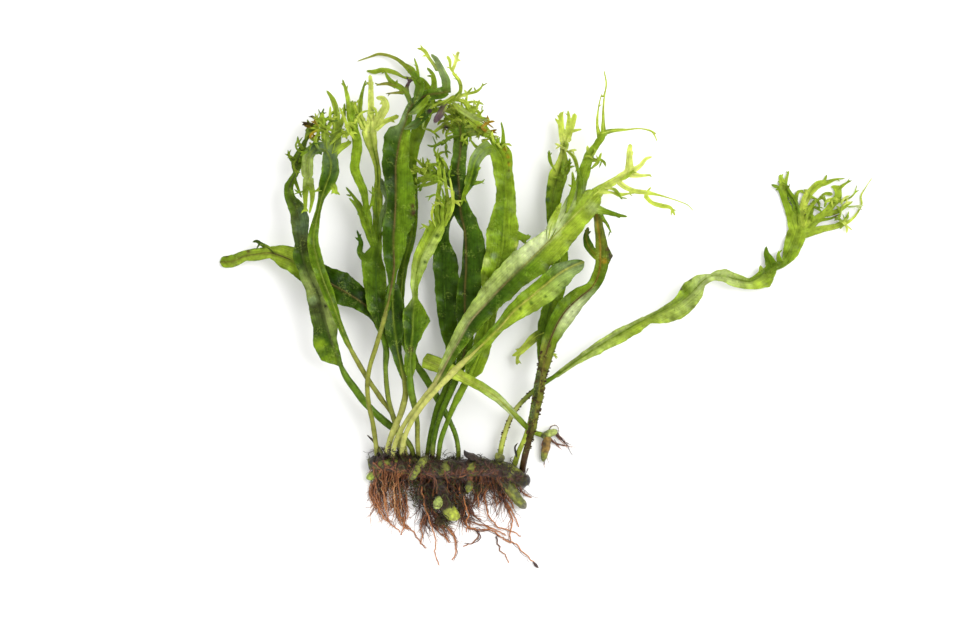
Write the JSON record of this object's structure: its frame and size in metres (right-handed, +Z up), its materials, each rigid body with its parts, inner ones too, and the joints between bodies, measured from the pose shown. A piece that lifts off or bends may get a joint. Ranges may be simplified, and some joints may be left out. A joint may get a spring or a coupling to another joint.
{
  "type": "java fern, bare-rooted",
  "caption": "Bare-root java fern with lace-like forked frond tips, creeping rhizome and roots, lying flat.",
  "frame": {"origin": "middle of the plant's outline as seen from above, on the surface it lies on", "axes": "+Z up from the surface, +X to the right and +Y to the frond tips as seen from above"},
  "size_m": [0.2578, 0.2082, 0.0237],
  "materials": {
    "leaf_dark": "wet satin leaf",
    "leaf_green": "wet satin leaf",
    "leaf_yellow": "wet satin leaf, translucent",
    "rhizome_skin": "rough wet bark",
    "bud": "smooth wet bud",
    "root": "matt fibrous root"
  },
  "bodies": {
    "root": {"frond_bend": "leaf_green", "frond_big": "leaf_dark", "frond_broad": "leaf_yellow", "frond_dark_centre": "leaf_dark", "frond_far_right": "leaf_yellow", "frond_kite": "leaf_green", "frond_lace_top": "leaf_green", "frond_left_arch": "leaf_green", "frond_left_edge": "leaf_dark", "frond_left_tip": "leaf_dark", "frond_long_diagonal": "leaf_green", "frond_mid_left": "leaf_dark", "frond_plain_tip": "leaf_green", "frond_right_crest": "leaf_yellow", "frond_spore_stem": "leaf_dark", "frond_yellow": "leaf_green", "plantlet_leaf": "leaf_yellow", "plantlet_rhizome": "bud", "plantlet_roots": "root", "rhizome": "rhizome_skin", "rhizome_branch_bud": "bud", "rhizome_branch_left": "bud", "rhizome_branch_right": "bud", "roots_centre": "root", "roots_end": "root", "roots_left": "root", "roots_left_long": "root", "roots_middle": "root", "roots_right": "root", "roots_right_fork": "root"}
  },
  "joints": []
}
